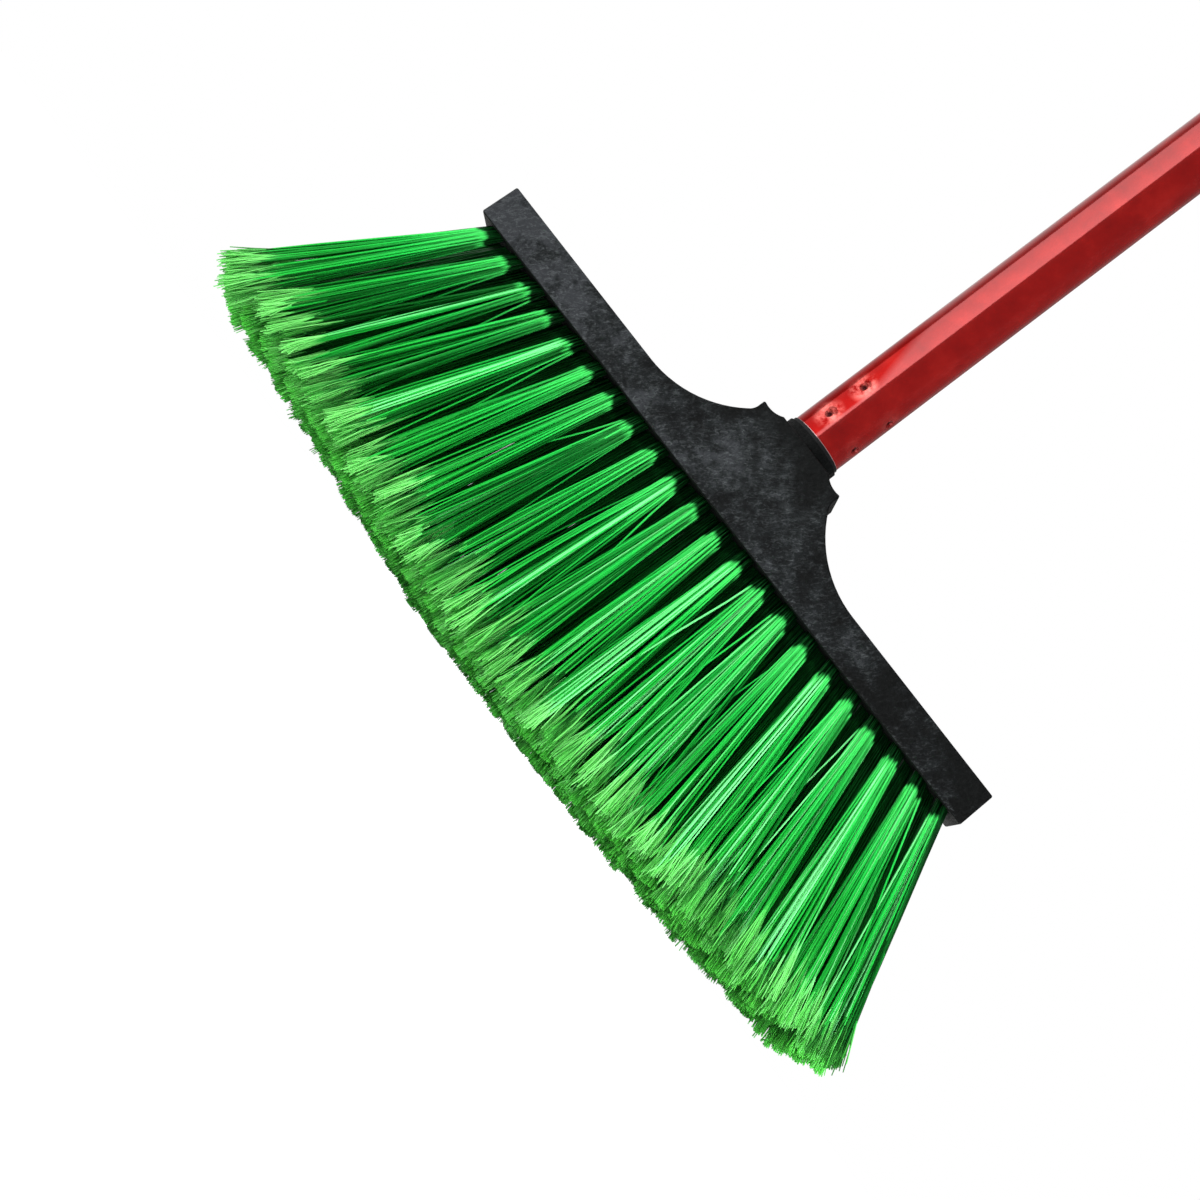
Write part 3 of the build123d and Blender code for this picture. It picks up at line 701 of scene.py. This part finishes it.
def paleFloor():
    # Matt white board, which shows white to the camera and keeps the shadow near the object
    material, tree = newMaterial("paleFloor")
    ray = addNode(tree, "ShaderNodeLightPath").outputs
    seen = addNode(tree, "ShaderNodeMath", {0: ray["Is Camera Ray"], 1: ray["Is Glossy Ray"]},
                   operation="MAXIMUM")
    seen = addNode(tree, "ShaderNodeMath", {0: seen, 1: ray["Is Transmission Ray"]},
                   operation="MAXIMUM")
    place = addNode(tree, "ShaderNodeTexCoord").outputs["Object"]
    away = addNode(tree, "ShaderNodeVectorMath", {0: place}, operation="LENGTH")
    glow = addNode(tree, "ShaderNodeMapRange", {
        "Value": away, "From Min": stageLook["glowReach"][0], "From Max": stageLook["glowReach"][1],
        "To Min": stageLook["nearGlow"], "To Max": 1.0})
    strength = addNode(tree, "ShaderNodeMath", {0: seen, 1: glow}, operation="MULTIPLY")
    shine = addNode(tree, "ShaderNodeEmission", {"Color": (1, 1, 1, 1), "Strength": strength})
    board = addNode(tree, "ShaderNodeBsdfDiffuse", {"Color": hexColour(stageLook["floorColour"])})
    both = addNode(tree, "ShaderNodeAddShader", {0: shine, 1: board})
    addNode(tree, "ShaderNodeOutputMaterial", {"Surface": both})
    return material


def makeFloor():
    shape = bmesh.new()
    bmesh.ops.create_grid(shape, x_segments=1, y_segments=1, size=stageLook["floorSize"] / 2)
    mesh = bpy.data.meshes.new("studioFloor")
    shape.to_mesh(mesh)
    shape.free()
    mesh.materials.append(paleFloor())
    floor = bpy.data.objects.new("studioFloor", mesh)
    bpy.context.scene.collection.objects.link(floor)


def makeWorld():
    # White backdrop to the camera, soft light all round, and shines that show a white wall behind
    # on the left and a dim room elsewhere
    world = bpy.data.worlds.new("studioRoom")
    bpy.context.scene.world = world
    world.use_nodes = True
    tree = world.node_tree
    tree.nodes.clear()
    ray = addNode(tree, "ShaderNodeLightPath").outputs
    direction = addNode(tree, "ShaderNodeTexCoord").outputs["Generated"]
    axes = addNode(tree, "ShaderNodeSeparateXYZ", {"Vector": direction}).outputs
    leftWall = addNode(tree, "ShaderNodeMapRange", {
        "Value": axes["Y"], "From Min": stageLook["wallFrom"][0],
        "From Max": stageLook["wallFrom"][1],
        "To Min": stageLook["shineLeft"], "To Max": stageLook["shineBehind"]})
    shown = addNode(tree, "ShaderNodeMapRange", {
        "Value": axes["X"], "From Min": stageLook["rightFrom"][0],
        "From Max": stageLook["rightFrom"][1],
        "To Min": leftWall, "To Max": stageLook["shineRight"]})
    shiny = addNode(tree, "ShaderNodeMath", {
        0: ray["Is Glossy Ray"], 1: ray["Is Transmission Ray"]}, operation="MAXIMUM")
    lit = addNode(tree, "ShaderNodeMix", {"Factor": shiny, "A": stageLook["room"], "B": shown})
    seen = addNode(tree, "ShaderNodeMix", {"Factor": ray["Is Camera Ray"], "A": lit, "B": 1.0})
    light = addNode(tree, "ShaderNodeBackground", {"Color": (1, 1, 1, 1), "Strength": seen})
    addNode(tree, "ShaderNodeOutputWorld", {"Surface": light})


# Places and sizes in m, power in watts, and how strong a lamp is at its left and right edges
lamps = {
    # The key stands left of the camera. The tube mirrors it, with its right-hand edge as a line
    "keyBox": {"at": (-0.746, -0.422, 0.952), "aim": (-0.096, 0.318, 0.952), "roll": -0.7,
               "size": (1.45, 1.5), "power": 28.2, "shines": True, "fade": (0.55, 1.08)},
    # The fill is a low strip close in front, which reaches under the bar and to the tips
    "fillBox": {"at": (0.28, -0.55, 0.05), "aim": (0.0, 0.0, 0.03), "roll": 0.0,
                "size": (0.9, 0.1), "power": 3.1, "shines": False, "fade": (1.0, 1.0)},
    # The side light stands far right and rounds the tube
    "sideBox": {"at": (1.1, -0.15, 0.62), "aim": (0.0, 0.0, 0.3), "roll": 0.0,
                "size": (0.5, 0.8), "power": 11.0, "shines": False, "fade": (1.0, 1.0)},
}


def makeLamps():
    for name, lamp in lamps.items():
        data = bpy.data.lights.new(name, "AREA")
        data.shape = "RECTANGLE"
        data.size, data.size_y = lamp["size"]
        data.energy = lamp["power"]
        data.use_nodes = True
        tree = data.node_tree
        tree.nodes.clear()
        surface = addNode(tree, "ShaderNodeNewGeometry").outputs["Parametric"]
        across = addNode(tree, "ShaderNodeSeparateXYZ", {"Vector": surface}).outputs["X"]
        fade = addNode(tree, "ShaderNodeMapRange", {
            "Value": across, "To Min": lamp["fade"][0], "To Max": lamp["fade"][1]})
        glow = addNode(tree, "ShaderNodeEmission", {"Strength": fade})
        addNode(tree, "ShaderNodeOutputLight", {"Surface": glow})
        light = bpy.data.objects.new(name, data)
        aim = Vector(lamp["aim"]) - Vector(lamp["at"])
        roll = Matrix.Rotation(math.radians(lamp["roll"]), 3, "Z")
        turn = aim.to_track_quat("-Z", "Y").to_matrix() @ roll
        light.matrix_world = Matrix.Translation(lamp["at"]) @ turn.to_4x4()
        light.visible_camera = False
        light.visible_glossy = lamp["shines"]
        bpy.context.scene.collection.objects.link(light)


photoView = {
    "azimuth": 5.84, "elevation": -3.45, "roll": 52.83,  # degrees
    "target": (-0.0022, 0.0, 0.0515), "distance": 0.8, "clip": (0.01, 100.0),  # m
    "focalPixels": 2417, "framePixels": 1200, "sensor": 36.0,  # mm
}


def makeCamera():
    azimuth = math.radians(photoView["azimuth"])
    elevation = math.radians(photoView["elevation"])
    roll = math.radians(photoView["roll"])
    back = Vector((math.sin(azimuth) * math.cos(elevation),
                   -math.cos(azimuth) * math.cos(elevation), math.sin(elevation)))
    level = (-back).cross(Vector((0, 0, 1))).normalized()
    upright = level.cross(-back)
    right = math.cos(roll) * level + math.sin(roll) * upright
    up = math.cos(roll) * upright - math.sin(roll) * level
    data = bpy.data.cameras.new("photoCamera")
    data.sensor_width = photoView["sensor"]
    data.lens = photoView["focalPixels"] / photoView["framePixels"] * photoView["sensor"]
    data.clip_start, data.clip_end = photoView["clip"]
    camera = bpy.data.objects.new("photoCamera", data)
    turn = Matrix((right, up, back)).transposed().to_4x4()
    stand = Vector(photoView["target"]) + back * photoView["distance"]
    camera.matrix_world = Matrix.Translation(stand) @ turn
    bpy.context.scene.collection.objects.link(camera)
    bpy.context.scene.camera = camera


def dressNodes():
    finishes = {"head_block": blackPolypropylene, "handle_tube": redLacquer,
                "threaded_ferrule": blackNylon, "hang_cap": glossPolypropylene,
                "tuft_anchors": galvanisedWire}
    for node, finish in finishes.items():
        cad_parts[node].material_slots[0].material = finish()
    print("finished CAD pieces:", ", ".join(finishes))


def plantBristles():
    material = greenFilament()
    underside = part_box("head_block")[0].z / mm
    faces = [bristleColumn(column, underside, material) for column in range(tufts["columns"])]
    print("planted", len(faces), "columns of bristles,", sum(faces), "faces")


def setStage():
    makeFloor()
    makeWorld()
    makeLamps()
    makeCamera()
    bpy.context.scene.view_settings.view_transform = "Standard"
    print("set the floor, the room,", len(lamps), "lamps and the camera")


dressNodes()
plantBristles()
setStage()
